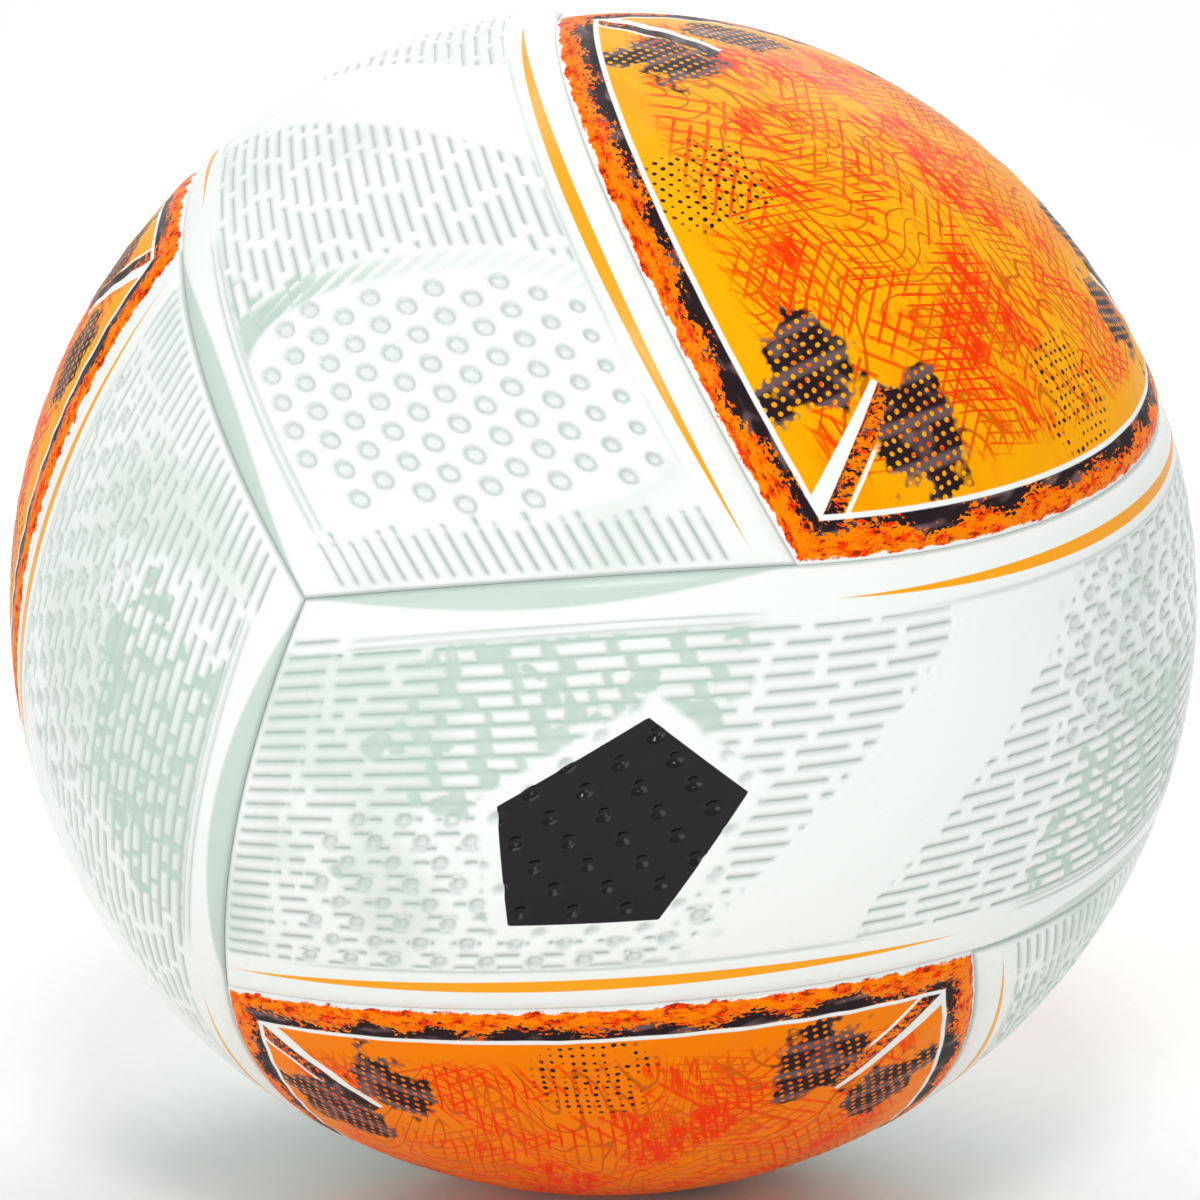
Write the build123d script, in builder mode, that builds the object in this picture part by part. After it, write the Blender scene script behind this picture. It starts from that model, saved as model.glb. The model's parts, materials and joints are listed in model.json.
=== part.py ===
"""Full-size soccer ball: ten bonded cover panels over foam, carcass, winding and bladder.

Row frame: origin at the ball's centre, +Z up, -Y towards the person looking at its face.
The panel layout has its own axes (the layout frame): the six long white panels sit on
+-X, +-Y and +-Z of that frame, and the four three-cornered orange panels between them.
The whole layout is turned to the attitude in which the ball lies.
"""

import os
from math import atan2, cos, radians, sin, tan

from build123d import *

os.makedirs("parts", exist_ok=True)

# ---- driving dimensions, millimetres and degrees ---------------------------------------
BALL_RADIUS = 110.0  # circumference 691 mm, a size 5 ball
SKIN = 1.2  # coated cover panel
FOAM = 3.0  # closed-cell foam behind each panel
CARCASS = 0.8  # moulded rubber carcass
WINDING = 0.5  # rubberised thread winding
BLADDER = 0.7  # butyl bladder
GLUE = 0.1  # glue line between two layers
SEAM_GAP = 0.1  # glue line between two neighbouring panels
SKIN_ROUND = 0.9  # rounding of a panel's outer edges, half of the valley at a seam
FOAM_ROUND = 1.5  # rounding of a foam pad's outer edges
SIDE_ANGLE = 21.35  # from a long panel's centre to the corners on its two long sides
ATTITUDE = (98.75, 26.8, 116.1)  # turns of the layout about X, then its new Y, its new Z

VALVE_HOLE_R = 4.3  # hole in the rear cover panel
NECK_R = 5.5  # valve housing where it passes through the layers
NECK_HOLE_R = 5.6  # hole in the layers that the neck passes through
NECK_TOP_GAP = 0.3  # top of the neck below the underside of the cover
TAIL_LENGTH = 15.0  # valve housing below the bladder's inner face
FLANGE_R = 18.0
FLANGE = 1.2
CORE_HEAD_R = 4.0
CORE_HEAD = 0.9
CORE_BODY_R = 3.0
CORE_BODY = 20.0
CORE_BORE_R = 3.05  # bore of the housing around the core's body
CORE_SEAT_GAP = 0.05  # under the core's head
CORE_NOSE = 0.8  # chamfer at the core's inner end
CORE_HEAD_EDGE = 0.3  # chamfer round the core's head
NEEDLE_R = 1.05  # way for a 2 mm inflating needle
NEEDLE_MOUTH_R = 1.6

# ---- radii of the layers, from the outside in ------------------------------------------
SKIN_IN = BALL_RADIUS - SKIN
FOAM_OUT = SKIN_IN - GLUE
FOAM_IN = FOAM_OUT - FOAM
CARCASS_OUT = FOAM_IN - GLUE
CARCASS_IN = CARCASS_OUT - CARCASS
WINDING_OUT = CARCASS_IN - GLUE
WINDING_IN = WINDING_OUT - WINDING
BLADDER_OUT = WINDING_IN - GLUE
BLADDER_IN = BLADDER_OUT - BLADDER
FLANGE_OUT = BLADDER_IN - GLUE
NECK_TOP = SKIN_IN - NECK_TOP_GAP
TAIL_END = BLADDER_IN - TAIL_LENGTH
CUT = 2 * BALL_RADIUS  # size of a cutting solid

# ---- corners and seams of the layout, as directions from the ball's centre -------------
# A long panel lies about +Z with its two long sides across X. Straight seams are great
# circles. An orange panel's edge is an arc of a smaller circle that runs on from a
# straight seam without a kink, so SIDE_ANGLE alone settles the arc's centre and size.
CENTRE = Vector(0, 0, 0)
THREE_WHITE = Vector(1, 1, 1).normalized()
SIDE = Vector(sin(radians(SIDE_ANGLE)), 0, cos(radians(SIDE_ANGLE)))
SHARP = Vector(0, SIDE.Z, SIDE.X)
OPPOSITE_SHARP = Vector(0, -SIDE.Z, SIDE.X)
ALONG_SEAM = (THREE_WHITE - SIDE * SIDE.dot(THREE_WHITE)).normalized()
OUT_OF_PANEL = ALONG_SEAM.cross(SIDE)
CAP_ANGLE = atan2(1 - SIDE.dot(OPPOSITE_SHARP), OUT_OF_PANEL.dot(OPPOSITE_SHARP))
CAP_AXIS = SIDE * cos(CAP_ANGLE) + OUT_OF_PANEL * sin(CAP_ANGLE)
ORANGE_AXIS = Vector(1, -1, 1).normalized()
HALF_GAP = SEAM_GAP / 2 / BALL_RADIUS  # half the glue line between panels, radians

# ---- where each panel sits: its outward axis and its own X axis in the layout frame -----
LONG_PANELS = {
    "front": ((0, 0, 1), (1, 0, 0)),
    "rear": ((0, 0, -1), (1, 0, 0)),
    "top": ((1, 0, 0), (0, 1, 0)),
    "bottom": ((-1, 0, 0), (0, 1, 0)),
    "left": ((0, 1, 0), (0, 0, 1)),
    "right": ((0, -1, 0), (0, 0, 1)),
}
ORANGE_PANELS = {
    "upper": (1, 1, 1),
    "lower": (-1, -1, 1),
    "left": (1, -1, -1),
    "rear": (-1, 1, -1),
}
LAYOUT = Location((0, 0, 0), ATTITUDE)


def long_place(name):
    """Location of a long panel, or of what sits on its axis, in the row frame."""
    outward, own_x = LONG_PANELS[name]
    return LAYOUT * Location(Plane(CENTRE, x_dir=own_x, z_dir=outward))


def orange_place(signs):
    """Location of an orange panel: half a turn of the first one about a layout axis."""
    outward = Vector(*(s * c for s, c in zip(signs, ORANGE_AXIS)))
    own_x = Vector(*(s * c for s, c in zip(signs, CAP_AXIS - ORANGE_AXIS * ORANGE_AXIS.dot(CAP_AXIS))))
    return LAYOUT * Location(Plane(CENTRE, x_dir=own_x, z_dir=outward))


def add_half_shell(outer, inner):
    """Half of a hollow sphere above XY, with its poles on X, clear of every panel."""
    poles_on_x = (90, 90, 0)
    Sphere(outer, arc_size3=180, rotation=poles_on_x, align=None)
    Sphere(inner, arc_size3=180, rotation=poles_on_x, align=None, mode=Mode.SUBTRACT)


def cut_with_cone(axis_location, half_angle, mode):
    """Remove or keep what lies within half_angle of an axis through the ball's centre."""
    with Locations(axis_location):
        Cone(
            bottom_radius=0,
            top_radius=CUT * tan(half_angle),
            height=CUT,
            align=(Align.CENTER, Align.CENTER, Align.MIN),
            mode=mode,
        )


def outer_edges(builder, outer):
    """The edges of a layer that lie on its outer sphere."""
    return builder.edges().filter_by(lambda edge: abs((edge @ 0.5).length - outer) < 0.01)


def long_layer(outer, inner, rounding):
    """One six-sided long panel between two radii, about +Z, its outer edges rounded."""
    inward = THREE_WHITE.cross(SHARP).normalized()
    inward = inward * (1 if inward.Z > 0 else -1)
    seam_middle = (THREE_WHITE + SHARP).normalized()
    sharp_seam = Plane(CENTRE, z_dir=inward * cos(HALF_GAP) - seam_middle * sin(HALF_GAP))
    corner = SIDE * cos(HALF_GAP) - OUT_OF_PANEL * sin(HALF_GAP)
    side_seam = Plane(CENTRE, x_dir=ALONG_SEAM, z_dir=corner)
    with BuildPart() as layer:
        add_half_shell(outer, inner)
        for half_turn in (0, 180):
            turn = Location((0, 0, 0), (0, 0, half_turn))
            cap = turn * Location(Plane(CENTRE, z_dir=CAP_AXIS))
            cut_with_cone(cap, CAP_ANGLE + HALF_GAP, Mode.SUBTRACT)
            with Locations(turn * Location(side_seam)):
                Box(CUT, CUT, CUT, align=(Align.MIN, Align.MAX, Align.MIN), mode=Mode.SUBTRACT)
            split(bisect_by=Plane(turn * Location(sharp_seam)), keep=Keep.TOP)
        fillet(outer_edges(layer, outer), rounding)
    return layer.part


def orange_layer(outer, inner, rounding):
    """One three-cornered panel between two radii, about +Z, its outer edges rounded."""
    tilt = ORANGE_AXIS.get_angle(CAP_AXIS)
    with BuildPart() as layer:
        add_half_shell(outer, inner)
        for third in (0, 120, 240):
            cap = Location((0, 0, 0), (0, 0, third)) * Location((0, 0, 0), (0, tilt, 0))
            cut_with_cone(cap, CAP_ANGLE - HALF_GAP, Mode.INTERSECT)
        fillet(outer_edges(layer, outer), rounding)
    return layer.part


def write_part(finished, label):
    """Label a finished piece and write its STEP file."""
    finished.label = label
    export_step(finished, f"parts/{label}.step")


def write_long_pieces(kind, blank, hole_radius):
    """Six copies of a long layer, the rear one with the valve's hole."""
    for name in LONG_PANELS:
        with BuildPart() as piece:
            with Locations(long_place(name)):
                add(blank)
                if name == "rear":
                    Cylinder(
                        hole_radius,
                        CUT,
                        align=(Align.CENTER, Align.CENTER, Align.MIN),
                        mode=Mode.SUBTRACT,
                    )
        write_part(piece.part, f"white_{kind}_{name}")


def write_orange_pieces(kind, blank):
    """Four copies of an orange layer."""
    for name, signs in ORANGE_PANELS.items():
        with BuildPart() as piece:
            with Locations(orange_place(signs)):
                add(blank)
        write_part(piece.part, f"orange_{kind}_{name}")


# ---- cover panels ----------------------------------------------------------------------
write_long_pieces("panel", long_layer(BALL_RADIUS, SKIN_IN, SKIN_ROUND), VALVE_HOLE_R)
write_orange_pieces("panel", orange_layer(BALL_RADIUS, SKIN_IN, SKIN_ROUND))

# ---- foam pads behind the panels -------------------------------------------------------
write_long_pieces("foam", long_layer(FOAM_OUT, FOAM_IN, FOAM_ROUND), NECK_HOLE_R)
write_orange_pieces("foam", orange_layer(FOAM_OUT, FOAM_IN, FOAM_ROUND))

# ---- closed layers, each with the hole that the valve's neck passes through ------------
LAYERS = {
    "carcass": (CARCASS_OUT, CARCASS_IN),
    "thread_winding": (WINDING_OUT, WINDING_IN),
    "bladder": (BLADDER_OUT, BLADDER_IN),
}
for layer_name, (layer_outer, layer_inner) in LAYERS.items():
    with BuildPart() as closed_layer:
        with Locations(long_place("rear")):
            Sphere(layer_outer)
            Sphere(layer_inner, mode=Mode.SUBTRACT)
            Cylinder(
                NECK_HOLE_R,
                CUT,
                align=(Align.CENTER, Align.CENTER, Align.MIN),
                mode=Mode.SUBTRACT,
            )
    write_part(closed_layer.part, layer_name)

# ---- valve: turned shapes about the rear panel's axis ----------------------------------
VALVE_PLACE = long_place("rear")
VALVE_AXIS = Axis(CENTRE, Plane(VALVE_PLACE).z_dir)
VALVE_SECTION = Plane(VALVE_PLACE * Location(Plane.XZ))  # its X is the radius, its Y the axis

# The housing is a flange bonded inside the bladder, a neck out through the layers and a
# tail into the air space.
with BuildPart() as valve_housing:
    with BuildSketch(VALVE_SECTION):
        Circle(FLANGE_OUT)
        Circle(FLANGE_OUT - FLANGE, mode=Mode.SUBTRACT)
        Rectangle(FLANGE_R, CUT, align=(Align.MIN, Align.MIN), mode=Mode.INTERSECT)
        with Locations((0, TAIL_END)):
            Rectangle(NECK_R, NECK_TOP - TAIL_END, align=(Align.MIN, Align.MIN))
            Rectangle(CORE_BORE_R, CUT, align=(Align.MIN, Align.MIN), mode=Mode.SUBTRACT)
    revolve(axis=VALVE_AXIS)
write_part(valve_housing.part, "valve_housing")

# The core is a headed plug that pulls straight out, with the needle's way down its middle.
core_seat = NECK_TOP + CORE_SEAT_GAP
core_top = core_seat + CORE_HEAD
core_end = core_seat - CORE_BODY
mouth_depth = NEEDLE_MOUTH_R - NEEDLE_R
with BuildPart() as valve_core:
    with BuildSketch(VALVE_SECTION):
        with BuildLine():
            Polyline(
                (NEEDLE_R, core_end),
                (CORE_BODY_R - CORE_NOSE, core_end),
                (CORE_BODY_R, core_end + CORE_NOSE),
                (CORE_BODY_R, core_seat),
                (CORE_HEAD_R, core_seat),
                (CORE_HEAD_R, core_top - CORE_HEAD_EDGE),
                (CORE_HEAD_R - CORE_HEAD_EDGE, core_top),
                (NEEDLE_MOUTH_R, core_top),
                (NEEDLE_R, core_top - mouth_depth),
                close=True,
            )
        make_face()
    revolve(axis=VALVE_AXIS)
write_part(valve_core.part, "valve_core")
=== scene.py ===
"""Soccer ball: ten bonded cover panels over foam pads, carcass, winding, bladder and valve."""

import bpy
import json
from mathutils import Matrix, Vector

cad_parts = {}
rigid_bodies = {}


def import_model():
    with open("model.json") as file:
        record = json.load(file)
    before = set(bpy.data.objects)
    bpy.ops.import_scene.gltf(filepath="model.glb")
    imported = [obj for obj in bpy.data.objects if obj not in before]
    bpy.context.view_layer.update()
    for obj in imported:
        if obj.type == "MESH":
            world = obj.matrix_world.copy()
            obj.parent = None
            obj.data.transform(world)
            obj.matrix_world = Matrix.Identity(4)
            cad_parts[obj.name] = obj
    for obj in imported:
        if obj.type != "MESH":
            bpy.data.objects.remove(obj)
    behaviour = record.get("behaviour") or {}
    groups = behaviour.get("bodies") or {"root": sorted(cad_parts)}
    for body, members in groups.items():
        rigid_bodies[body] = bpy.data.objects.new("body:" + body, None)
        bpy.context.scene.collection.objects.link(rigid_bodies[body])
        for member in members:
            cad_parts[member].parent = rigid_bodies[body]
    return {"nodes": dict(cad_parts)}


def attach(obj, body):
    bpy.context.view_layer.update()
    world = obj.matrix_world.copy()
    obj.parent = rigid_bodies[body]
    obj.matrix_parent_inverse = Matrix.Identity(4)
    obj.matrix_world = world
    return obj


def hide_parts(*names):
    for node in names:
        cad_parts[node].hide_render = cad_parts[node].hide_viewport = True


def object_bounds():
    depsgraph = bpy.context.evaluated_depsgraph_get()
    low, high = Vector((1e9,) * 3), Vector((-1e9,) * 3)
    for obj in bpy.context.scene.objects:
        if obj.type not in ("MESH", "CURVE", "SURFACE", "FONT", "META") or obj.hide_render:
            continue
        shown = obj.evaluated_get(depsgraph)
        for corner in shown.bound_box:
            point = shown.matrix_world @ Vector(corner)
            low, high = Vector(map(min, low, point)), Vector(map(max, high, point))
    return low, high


bl_info = {
    "name": "Bonded Soccer Ball",
    "version": (1, 0, 0),
    "blender": (4, 5, 0),
    "location": "View3D > Sidebar > Ball",
    "description": "Models the cover panels, pads, inner layers and valve of a bonded soccer ball",
    "category": "Add Mesh",
}

import json
import math

import bpy
import numpy as np
from mathutils import Vector, kdtree, noise

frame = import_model()
CAD_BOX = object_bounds()

MM = 0.001
BALL_R = (CAD_BOX[1][0] - CAD_BOX[0][0]) / 2
FINE = np.linspace(0, 1, 700)         # fractions along a side at which it is sampled as an outline
FIELD_WIDTH = 80.0                    # mm, width that a white panel's own x is drawn to, 76 mm at its middle
FIELD_STRETCH = 1.03                  # halfway between a white panel's side, 1, and its middle line, 1.06
PULL_REACH = 0.05                     # m, from a panel's own axis to where it is drawn in by half the gap
ROW_LENGTH = 125                      # mm, longer than half a white panel, so that dashes fill each row
OTHER_HALF = 500.0                    # mm, where the half without the patch is put, well off it
PAD_R = 108                           # mm, a round value of the pads' radius for their unevenness
COVER_KEEP, PAD_KEEP = 0.06, 0.2      # shares of the triangles kept on the inner faces, never in view
FAR_OFF = 1e3                         # mm, a distance further than any on the ball
ONE_BAND = 0.314                      # a wave texture of this scale has its bands one unit apart

# ---------------------------------------------------------------- layout of the panels

SIDE_ANGLE = math.radians(21.35)      # from a white panel's middle to its side corner
ATTITUDE = tuple(math.radians(v) for v in (98.75, 26.8, 116.1))


def unit(v):
    v = np.asarray(v, float)
    return v / np.linalg.norm(v, axis=-1, keepdims=True)


SA, CA = math.sin(SIDE_ANGLE), math.cos(SIDE_ANGLE)
THREE_WHITE = unit((1, 1, 1))
SIDE = np.array((SA, 0, CA))
SHARP = np.array((0, CA, SA))
HALF_TURN = np.array((-1, -1, 1))
ALONG_SEAM = unit(THREE_WHITE - SIDE * SIDE.dot(THREE_WHITE))
OUT_OF_PANEL = np.cross(ALONG_SEAM, SIDE)
FAR_SHARP = np.array((0, -CA, SA))
CAP_ANGLE = math.atan2(1 - SIDE.dot(FAR_SHARP), OUT_OF_PANEL.dot(FAR_SHARP))
CAP_AXIS = SIDE * math.cos(CAP_ANGLE) + OUT_OF_PANEL * math.sin(CAP_ANGLE)
ORANGE_AXIS = unit((1, -1, 1))

WHITE_PANELS = {                      # name: (outward, own x)
    "front": ((0, 0, 1), (1, 0, 0)), "rear": ((0, 0, -1), (1, 0, 0)),
    "top": ((1, 0, 0), (0, 1, 0)), "bottom": ((-1, 0, 0), (0, 1, 0)),
    "left": ((0, 1, 0), (0, 0, 1)), "right": ((0, -1, 0), (0, 0, 1)),
}
ORANGE_PANELS = {                     # name: signs given to the first orange panel's axes
    "upper": (1, 1, 1), "lower": (-1, -1, 1), "left": (1, -1, -1), "rear": (-1, 1, -1),
}


def turn_about(axis, angle):
    """The 3 x 3 matrix that turns about a main axis, 0 for x, 1 for y, 2 for z."""
    c, s = math.cos(angle), math.sin(angle)
    m = np.eye(3)
    i, j = (axis + 1) % 3, (axis + 2) % 3
    m[i, i] = m[j, j] = c
    m[i, j], m[j, i] = -s, s
    return m


ROW = turn_about(0, ATTITUDE[0]) @ turn_about(1, ATTITUDE[1]) @ turn_about(2, ATTITUDE[2])


def placed(outward, own_x):
    """The matrix from a panel's own frame, z outwards, to the row frame."""
    z = unit(outward)
    x = unit(np.asarray(own_x, float) - z * np.dot(own_x, z))
    return ROW @ np.column_stack((x, np.cross(z, x), z))


def white_place(name):
    return placed(*WHITE_PANELS[name])


def orange_place(name):
    signs = np.array(ORANGE_PANELS[name])
    return placed(ORANGE_AXIS * signs, CAP_AXIS * signs)


def pulled_in(way, gap):
    """Directions drawn towards a panel's own z axis, the more the further they are from it."""
    return unit(way + np.array((0, 0, 0.5 * gap / PULL_REACH)))


def great_arc(p, q, t):
    """Points on the great circle from p to q at fractions t."""
    t = np.asarray(t, float)[..., None]
    angle = math.acos(np.clip(np.dot(p, q), -1, 1))
    return (np.sin((1 - t) * angle) * p + np.sin(t * angle) * q) / math.sin(angle)


def cap_arc(axis, p, q, t):
    """Points on the small circle about axis from p to q at fractions t."""
    t = np.asarray(t, float)[..., None]
    mid = axis * np.dot(axis, p)
    e1 = p - mid
    e2 = np.cross(axis, e1)
    rel = q - mid
    turn = math.atan2(np.dot(rel, e2), np.dot(rel, e1))
    return mid + e1 * np.cos(turn * t) + e2 * np.sin(turn * t)


WHITE_SEAM = math.acos(SIDE.dot(THREE_WHITE))
SEAM_ENDS = [unit(p - CAP_AXIS * CAP_AXIS.dot(p)) for p in (FAR_SHARP, SIDE)]
ORANGE_SEAM = math.sin(CAP_ANGLE) * math.acos(SEAM_ENDS[0].dot(SEAM_ENDS[1]))
LONG_SIDE = WHITE_SEAM + ORANGE_SEAM  # lengths are in radians of the ball
ORANGE_SHARE = ORANGE_SEAM / LONG_SIDE


def long_side(t):
    """The +x long side of a white panel: the orange seam, then the white one."""
    t = np.atleast_1d(np.asarray(t, float))
    orange = cap_arc(CAP_AXIS, FAR_SHARP, SIDE, np.clip(t / ORANGE_SHARE, 0, 1))
    white = great_arc(SIDE, THREE_WHITE, np.clip((t - ORANGE_SHARE) / (1 - ORANGE_SHARE), 0, 1))
    return np.where((t <= ORANGE_SHARE)[:, None], orange, white)


def white_patch(s, t):
    """Directions on the ball for a white panel's own s, across, and t, along its length."""
    plus = long_side(t)
    minus = long_side(1 - t) * HALF_TURN
    near = great_arc(THREE_WHITE * HALF_TURN, FAR_SHARP, s)
    far = great_arc(SHARP, THREE_WHITE, s)
    s, t = s[:, None], t[:, None]
    flat = ((1 - s) * (1 - t) * THREE_WHITE * HALF_TURN + s * (1 - t) * FAR_SHARP
            + (1 - s) * t * SHARP + s * t * THREE_WHITE)
    return unit((1 - s) * minus + s * plus + (1 - t) * near + t * far - flat)


def white_outline():
    """Points all round a white panel, in its own frame."""
    half = np.vstack((long_side(FINE), great_arc(SHARP, THREE_WHITE, FINE)))
    return np.vstack((half, half * HALF_TURN))


TILT = math.acos(ORANGE_AXIS.dot(CAP_AXIS))


def orange_cap(k):
    """The axis of the cap whose rim is side k - 1 of an orange panel, in the panel's own frame."""
    a = math.radians(120 * k)
    return unit((math.sin(TILT) * math.cos(a), math.sin(TILT) * math.sin(a), math.cos(TILT)))


def orange_corner(k):
    """Corner k of an orange panel in its own frame."""
    caps = [orange_cap(k), orange_cap(k + 1)]
    bisector = unit(caps[0] + caps[1])
    lean = math.acos(math.cos(CAP_ANGLE) / caps[0].dot(bisector))
    inward = unit(np.array((0, 0, 1)) - bisector * bisector[2])
    return bisector * math.cos(lean) + inward * math.sin(lean)


def orange_side(k, t):
    """Side k of an orange panel from corner k to corner k + 1, on the cap both share."""
    return cap_arc(orange_cap(k + 1), orange_corner(k), orange_corner((k + 1) % 3), t)


def orange_outline():
    """Points all round an orange panel, in its own frame."""
    return np.vstack([orange_side(k, FINE) for k in range(3)])


# ---------------------------------------------------------------- sizes, colours and looks


def linear(colour):
    """An sRGB hex value as linear red, green, blue and a full alpha."""
    parts = [int(colour[i:i + 2], 16) / 255 for i in (1, 3, 5)]
    light = [c / 12.92 if c <= 0.04045 else ((c + 0.055) / 1.055) ** 2.4 for c in parts]
    return (*light, 1.0)


def size_of(name, about, metres, low=0.0, high=1.0):
    return bpy.props.FloatProperty(name=name, description=about, default=metres, min=low, max=high,
                                   unit="LENGTH", subtype="DISTANCE", precision=5)


def colour_of(name, about, value):
    return bpy.props.FloatVectorProperty(name=name, description=about, default=linear(value), size=4,
                                         min=0.0, max=1.0, subtype="COLOR")


def count_of(name, about, value, low, high):
    return bpy.props.IntProperty(name=name, description=about, default=value, min=low, max=high)


def power_of(name, about, watts):
    return bpy.props.FloatProperty(name=name, description=about, default=watts, min=0, max=500, unit="POWER")


class BallSizes(bpy.types.PropertyGroup):
    """Sizes of the cover, its embossing and its pads."""
    radius: size_of("Radius", "From the ball's middle to the top of the cover", BALL_R)
    skin: size_of("Skin", "Thickness of the cover panels", 1.15 * MM)
    gap: size_of("Gap", "Clear space between two panels' walls", 0.05 * MM)
    seam_width: size_of("Seam width", "How far in from its edge a panel starts to roll over", 2.8 * MM)
    seam_depth: size_of("Seam depth", "How deep the pressed seam is", 0.95 * MM)
    groove_depth: size_of("Groove depth", "Depth of the embossed grooves", 0.50 * MM)
    dimple_depth: size_of("Dimple depth", "Depth of the round dimples", 0.80 * MM)
    dimple_radius: size_of("Dimple radius", "Radius of the large round dimples", 1.75 * MM)
    fine_dimple_radius: size_of("Fine dimple radius", "Radius of the small round dimples", 1.3 * MM)
    channel_depth: size_of("Channel depth", "Depth of the printed channels between ribs", 0.42 * MM)
    valve_hole: size_of("Valve hole", "Radius of the valve's hole in the rear panel", 4.3 * MM)
    foam_top: size_of("Foam top", "Radius of the foam pads' outer face", 108.7 * MM)
    foam: size_of("Foam", "Thickness of the foam pads", 2.95 * MM)
    neck_hole: size_of("Neck hole", "Radius of the rear pad's hole for the valve's neck", 5.75 * MM)
    foam_round: size_of("Foam rounding", "Rounding of the foam pads' edges", 1.5 * MM)
    patch: size_of("Patch size", "From the middle of the dark patch to its corners", 20.0 * MM)
    grooves: count_of("Grooves", "Grooves across a white panel", 30, 6, 60)
    cells: count_of("Cells per groove", "Mesh cells from groove to groove", 6, 3, 12)
    length_cells: count_of("Cells along", "Mesh cells along a white panel's length", 430, 40, 800)
    orange_cells: count_of("Orange cells", "Mesh cells along half a side of an orange panel", 104, 10, 200)


class CoverColours(bpy.types.PropertyGroup):
    """Colours of the printed covers and of the inner layers."""
    white: colour_of("White", "White ground of the long panels", "#F5F8F5")
    mint: colour_of("Mint", "Grey-green print in the recesses", "#BED1C6")
    # painted shade: this grey is laid in the bottoms of grooves, dimples and fine lines and round the
    # dimples' lips
    groove: colour_of("Groove", "Shade in the bottom of the grooves", "#BCC8C2")
    line: colour_of("Line", "Crescent line beside the orange panels", "#FFA800")
    patch: colour_of("Patch", "Plain dark patch of the front panel", "#0B0C0C")
    yellow: colour_of("Yellow", "Upper ground of the orange panels", "#FFB000")
    orange: colour_of("Orange", "Lower ground of the orange panels", "#FF8600")
    flame: colour_of("Flame", "Hatching and edge print", "#FA3800")
    dark: colour_of("Dark", "Dark dots and edge print", "#2A1E22")
    foam: colour_of("Foam", "Foam backing", "#E9E4D2")
    carcass: colour_of("Carcass", "Rubber carcass", "#3A3532")
    thread: colour_of("Thread", "Polyester winding thread", "#D9D3C2")
    bladder: colour_of("Bladder", "Butyl bladder", "#232122")
    valve: colour_of("Valve", "Valve rubber", "#2B2A2A")
    core: colour_of("Valve core", "Soft core of the valve", "#3B3836")


class StudioLook(bpy.types.PropertyGroup):
    """Where the camera stands, and how bright the light is."""
    distance: size_of("Distance", "From the camera to the ball's middle", 0.594, 0.2, 5.0)
    height: bpy.props.FloatProperty(name="Elevation", description="How far above level the camera stands",
                                    default=math.radians(8), subtype="ANGLE")
    lens: bpy.props.FloatProperty(name="Lens", description="Focal length in millimetres on a 36 mm sensor",
                                  default=94.6, min=10, max=500)
    surround: bpy.props.FloatProperty(name="Surround", description="Strength of the even white surround",
                                      default=0.59, min=0, max=5)
    key: power_of("Key light", "Power of the small light above the front", 5.6)
    backdrop: power_of("Backdrop light", "Power of the light on the backdrop", 32.0)
    fill: power_of("Fill lights", "Power of each of the two large soft lights", 5.5)


# ---------------------------------------------------------------- embossing of the white panels


def smooth(edge0, edge1, value):
    """0 below edge0 and 1 above edge1, with a soft step between."""
    t = np.clip((value - edge0) / (edge1 - edge0), 0, 1)
    return t * t * (3 - 2 * t)


def ridge(distance, width):
    """1 on a line and 0 away from it, rounded like a bell of the given width."""
    return np.exp(-(distance / width) ** 2)


def bowl(reach, radius):
    """1 in a dimple's middle and 0 at its rim and beyond, steep at the rim."""
    return np.clip(1 - (reach / radius) ** 2, 0, 1) ** 0.6


def lattice(x, y, step_x, step_y):
    """Distance to the nearest point of a staggered lattice, and that point's own x and y."""
    column = np.rint(x / step_x)
    shift = np.where(column % 2 == 0, 0.0, 0.5)
    row = np.rint(y / step_y - shift) + shift
    return np.hypot(x - column * step_x, y - row * step_y), column * step_x, row * step_y


def nearest(points, line):
    """For each point its distance to the nearest point of a line, and that point's number."""
    tree = kdtree.KDTree(len(line))
    for i, p in enumerate(line):
        tree.insert(p, i)
    tree.balance()
    found = [tree.find(p) for p in points]
    return np.array([f[2] for f in found]), np.array([f[1] for f in found])


def cloud(points, scale, seed, detail=2):
    """Soft noise from about -1 to 1 at each point; scale is the size of one blot."""
    offset = Vector((seed * 7.1, seed * 3.3, seed * 1.7))
    return np.array([noise.fractal(Vector(p) / scale + offset, 1.0, 2.0, detail) for p in points])


def dashes(rows, along, seed, shortest, longest, shortest_gap, longest_gap, start):
    """1 inside the dashes of each row and 0 in their gaps, with soft ends; lengths in millimetres."""
    draw = np.random.default_rng(seed)
    value = np.zeros_like(along)
    for row in range(int(rows.max()) + 1):
        here = rows == row
        at = start - draw.uniform(0, longest)
        while at < ROW_LENGTH:
            end = at + draw.uniform(shortest, longest)
            begun = smooth(at - 0.3, at + 0.35, along[here])
            ended = smooth(end - 0.35, end + 0.3, along[here])
            value[here] = np.maximum(value[here], begun * (1 - ended))
            at = end + draw.uniform(shortest_gap, longest_gap)
    return value


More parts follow.
